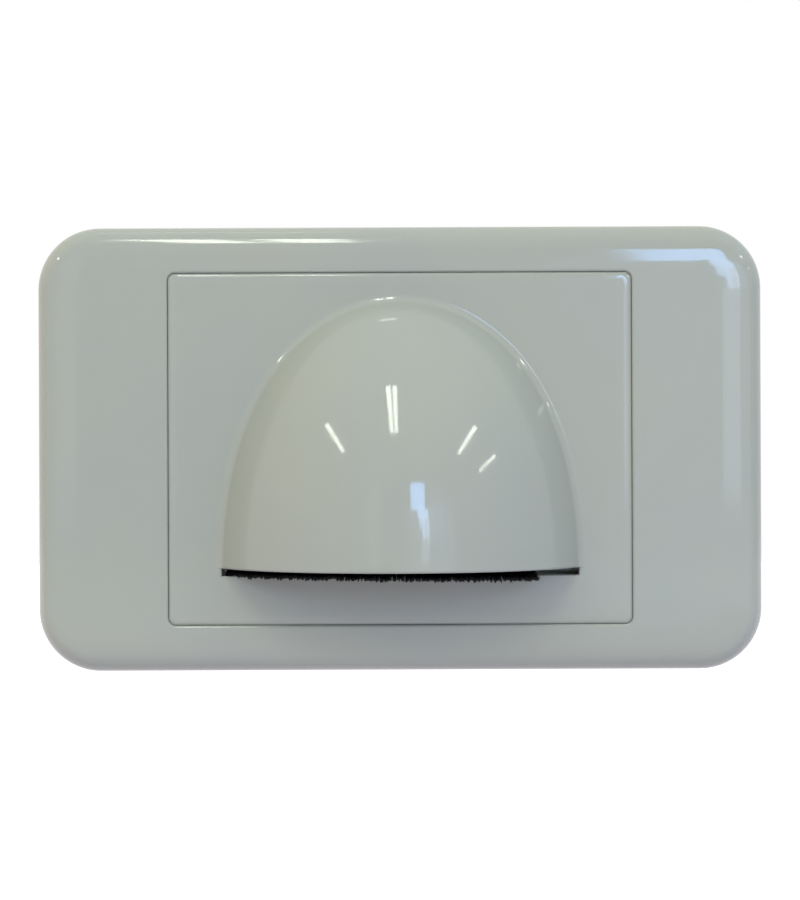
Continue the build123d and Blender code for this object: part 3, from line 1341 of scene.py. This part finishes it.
@dataclass
class Studio:
    """Floor, world, lamps and camera, in metres."""

    camera_distance: float = 0.392
    camera_level: float = -0.00024
    camera_roll_deg: float = 0.24
    focal_px: float = 2410.0
    picture_px: float = 900.0
    sensor_mm: float = 36.0
    floor_level: float = -0.30
    floor_half: float = 6.0
    floor_colour: str = "#C7BFD0"
    floor_glow: float = 0.8
    # Stops of the fill, as shares of the way from the left to the right
    fill: tuple[tuple[float, str], ...] = ((0.14, "#FFF6D4"), (0.5, "#BCBAB7"), (0.86, "#E6F2FE"))
    fill_strength: float = 1.03
    ceiling_level: float = 1.5
    tube_colour: str = "#FBFFF0"
    # A pair of tubes over the middle, three more to the sides, and a short lamp over the plate itself
    tubes: tuple[CeilingTube, ...] = (
        CeilingTube(-0.215, -1.64, 0.09, 1.08),
        CeilingTube(-0.095, -1.64, 0.08, 1.08),
        CeilingTube(-1.83, -1.83, 0.13, 1.06),
        CeilingTube(1.94, -1.865, 0.13, 1.09),
        CeilingTube(3.24, -2.07, 0.13, 1.08),
        CeilingTube(-0.14, 0.21, 0.2, 0.05, 4.5),
    )
    pane_distance: float = 4.0
    # A bright window that narrows downwards, its lower slats and foot, two strips beside it, a pale one to
    # the left, and a soft glow that fades from the right towards the middle
    panes: tuple[WindowPane, ...] = (
        WindowPane((6.4, 14.5), (11.7, 18.8), 13.0, "#97C4FF"),
        WindowPane((10.4, 16.4), (9.4, 11.7), 12.0, "#A4CAFF"),
        WindowPane((11.2, 13.0), (6.8, 9.4), 9.0, "#A4CAFF"),
        WindowPane((13.1, 14.4), (4.6, 9.4), 11.0, "#B4D2FF"),
        WindowPane((14.7, 15.7), (4.6, 9.4), 8.0, "#C4DAFC"),
        WindowPane((15.9, 16.9), (4.6, 9.4), 10.0, "#C4DAFC"),
        WindowPane((12.0, 17.0), (-1.3, 4.6), 2.0, "#D2E2FA"),
        WindowPane((18.0, 20.5), (4.5, 17.0), 1.3, "#A8CCFF"),
        WindowPane((22.0, 25.0), (4.5, 17.0), 1.0, "#A8CCFF"),
        WindowPane((-19.0, -12.0), (-2.0, 18.5), 0.6, "#E6EDF5"),
        WindowPane((1.0, 32.0), (-14.0, 13.0), 0.36, "#B4D2FF"),
        WindowPane((3.5, 32.0), (-14.0, 13.0), 0.36, "#B4D2FF"),
        WindowPane((6.0, 32.0), (-14.0, 13.0), 0.36, "#B4D2FF"),
    )
    key_place: Point = (-0.3, -0.9, 1.25)
    key_size: float = 1.3
    key_power: float = 5.0
    key_colour: str = "#FCFFF0"

    @staticmethod
    def lamp(
        name: str, place: Point, aim: Point, size: Sequence[float], power: float, colour: str
    ) -> bpy.types.Object:
        """Add a rectangular soft lamp that the camera doesn't see.

        Args:
            name: Name of the lamp.
            place: Where it is.
            aim: The point that it faces.
            size: Width and length.
            power: Power in watts.
            colour: sRGB hex colour of its light.

        Returns:
            The lamp.
        """
        data = bpy.data.lights.new(name, "AREA")
        data.shape = "RECTANGLE"
        data.size, data.size_y = size
        data.energy = power
        data.color = linear(colour)[:3]
        made = put_in_scene(name, data)
        made.location = place
        made.rotation_mode = "QUATERNION"
        made.rotation_quaternion = (Vector(aim) - Vector(place)).to_track_quat("-Z", "Y")
        made.visible_camera = False
        return made

    def lamps(self) -> None:
        """Tube lamps under the ceiling, a window to the front right and a broad soft key from above."""
        plate = (0.0, 0.0, 0.0)
        # The power of a flat lamp is pi times its area times its radiance
        for tube in self.tubes:
            place = (tube.x, tube.y, self.ceiling_level)
            power = math.pi * tube.width * tube.length * tube.radiance
            below = (tube.x, tube.y, 0.0)
            self.lamp("tube", place, below, (tube.width, tube.length), power, self.tube_colour)
        for pane in self.panes:
            spans = (pane.azimuth_deg, pane.elevation_deg)
            turn, lift = (math.radians(sum(span) / 2) for span in spans)
            place = (
                self.pane_distance * math.cos(lift) * math.sin(turn),
                -self.pane_distance * math.cos(lift) * math.cos(turn),
                self.pane_distance * math.sin(lift),
            )
            angles = [math.radians(end - start) for start, end in spans]
            size = [2 * self.pane_distance * math.tan(angle / 2) for angle in angles]
            power = math.pi * size[0] * size[1] * pane.radiance
            self.lamp("pane", place, plate, size, power, pane.colour)
        key_size = (self.key_size, self.key_size)
        key = self.lamp("key", self.key_place, plate, key_size, self.key_power, self.key_colour)
        key.visible_glossy = False

    @staticmethod
    def seen(tree: bpy.types.NodeTree) -> bpy.types.NodeSocket:
        """One for rays that show the background: straight from the eye, mirrored or refracted.

        Args:
            tree: The node tree that asks.

        Returns:
            The socket that holds it.
        """
        path = add_node(tree, "ShaderNodeLightPath")
        shown = path.outputs["Is Camera Ray"]
        for ray in ("Is Glossy Ray", "Is Transmission Ray"):
            settings = {"operation": "MAXIMUM", 0: shown, 1: path.outputs[ray]}
            shown = add_node(tree, "ShaderNodeMath", settings).outputs[0]
        return shown

    def world(self) -> None:
        """White for the eye and for reflections, and a soft fill for everything else."""
        made = bpy.data.worlds.new("studio")
        tree = fresh_tree(made)
        place = add_node(tree, "ShaderNodeTexCoord").outputs["Generated"]
        across = add_node(tree, "ShaderNodeSeparateXYZ", {"Vector": place}).outputs["X"]
        share = add_node(tree, "ShaderNodeMapRange", {"Value": across, "From Min": -1.0, "From Max": 1.0})
        sides = add_node(tree, "ShaderNodeValToRGB", {"Fac": share.outputs["Result"]}, self.fill)
        fill = add_node(
            tree,
            "ShaderNodeBackground",
            {"Color": sides.outputs["Color"], "Strength": self.fill_strength},
        )
        white = add_node(tree, "ShaderNodeBackground", {"Color": (1.0, 1.0, 1.0, 1.0), "Strength": 1.0})
        both = {"Fac": self.seen(tree), 1: fill.outputs[0], 2: white.outputs[0]}
        mix = add_node(tree, "ShaderNodeMixShader", both)
        add_node(tree, "ShaderNodeOutputWorld", {"Surface": mix.outputs[0]})
        bpy.context.scene.world = made

    def floor(self) -> None:
        """Pale floor well below the plate, lifted to white for the eye where no shadow lies."""
        builder = MeshBuilder("floor")
        half, level = self.floor_half / MM, self.floor_level / MM
        corners = ((-half, -half), (half, -half), (half, half), (-half, half))
        builder.face(builder.row([(x, y, level) for x, y in corners]))
        made = builder.object()
        finish = bpy.data.materials.new("pale_floor")
        tree = fresh_tree(finish)
        paint = add_node(tree, "ShaderNodeBsdfDiffuse", {"Color": linear(self.floor_colour)})
        lift = add_node(
            tree, "ShaderNodeMath", {"operation": "MULTIPLY", 0: self.seen(tree), 1: self.floor_glow}
        )
        glow = add_node(tree, "ShaderNodeEmission", {"Strength": lift.outputs[0]})
        both = add_node(tree, "ShaderNodeAddShader", {0: paint.outputs[0], 1: glow.outputs[0]})
        add_node(tree, "ShaderNodeOutputMaterial", {"Surface": both.outputs[0]})
        made.data.materials.append(finish)

    def camera(self) -> None:
        """Camera straight in front of the plate, with the small roll of the photograph."""
        data = bpy.data.cameras.new("camera")
        data.sensor_width = self.sensor_mm
        data.lens = self.sensor_mm * self.focal_px / self.picture_px
        made = put_in_scene("camera", data)
        made.location = (0.0, -self.camera_distance, self.camera_level)
        # A new camera looks straight down, and a right angle turns it to look along +Y
        made.rotation_euler = (math.radians(90), math.radians(self.camera_roll_deg), 0.0)
        bpy.context.scene.camera = made

    def build(self) -> None:
        """Set up the whole stage."""
        bpy.context.scene.view_settings.view_transform = "Standard"
        self.world()
        self.floor()
        self.lamps()
        self.camera()


def size_mm(node: str) -> tuple[Point, Point]:
    """Lowest and highest corner of a CAD node, in millimetres."""
    low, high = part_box(node)
    return tuple(v / MM for v in low), tuple(v / MM for v in high)


def main() -> None:
    """Load the frame, build each piece in its place, and set up the studio."""
    logging.basicConfig(level=logging.INFO, format="%(message)s")
    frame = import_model()

    cover_low, cover_high = size_mm("surround")
    _, plate_high = size_mm("hood_plate")
    channel_low, channel_high = size_mm("brush_channel")
    wire_low, wire_high = size_mm("brush_core_wire")
    bundle_low, bundle_high = size_mm("brush_bristles")
    depth = -cover_low[1]

    abs_finish = MouldedAbs().material()
    panel = Panel()
    surround = Surround(panel, cover_high[0] - cover_low[0], cover_high[2] - cover_low[2], depth)
    surround.build(abs_finish)

    hood = Bullnose(face_depth=depth)
    seat = BrushSeat(
        slot_half=hood.slot_half,
        panel_back=depth - panel.wall,
        shelf_level=channel_low[2],
        slot_top=hood.mouth,
        channel_low=channel_low,
        channel_high=channel_high,
    )
    plate = HoodPlate(panel, hood, seat, plate_high[0], plate_high[2], depth)
    plate.build(abs_finish)

    brush = StripBrush(
        hood=hood,
        start=channel_low[0],
        end=channel_high[0],
        wire_y=(wire_low[1] + wire_high[1]) / 2,
        wire_z=(wire_low[2] + wire_high[2]) / 2,
        bundle_half=(bundle_high[2] - bundle_low[2]) / 2,
    )
    brush.build(BlackNylon().material())

    steels = {
        "brush_channel": DrawnSteel("zinc_plated_strip", "#B9BDC0", "#8F9497", 0.34),
        "brush_core_wire": DrawnSteel("drawn_wire", "#8D8F91", "#6A6C6E", 0.4),
    }
    for node, steel in steels.items():
        frame["nodes"][node].data.materials.clear()
        frame["nodes"][node].data.materials.append(steel.material())
        LOG.info("%s: finish %s", node, steel.name)

    Studio().build()


if __name__ == "__main__":
    main()
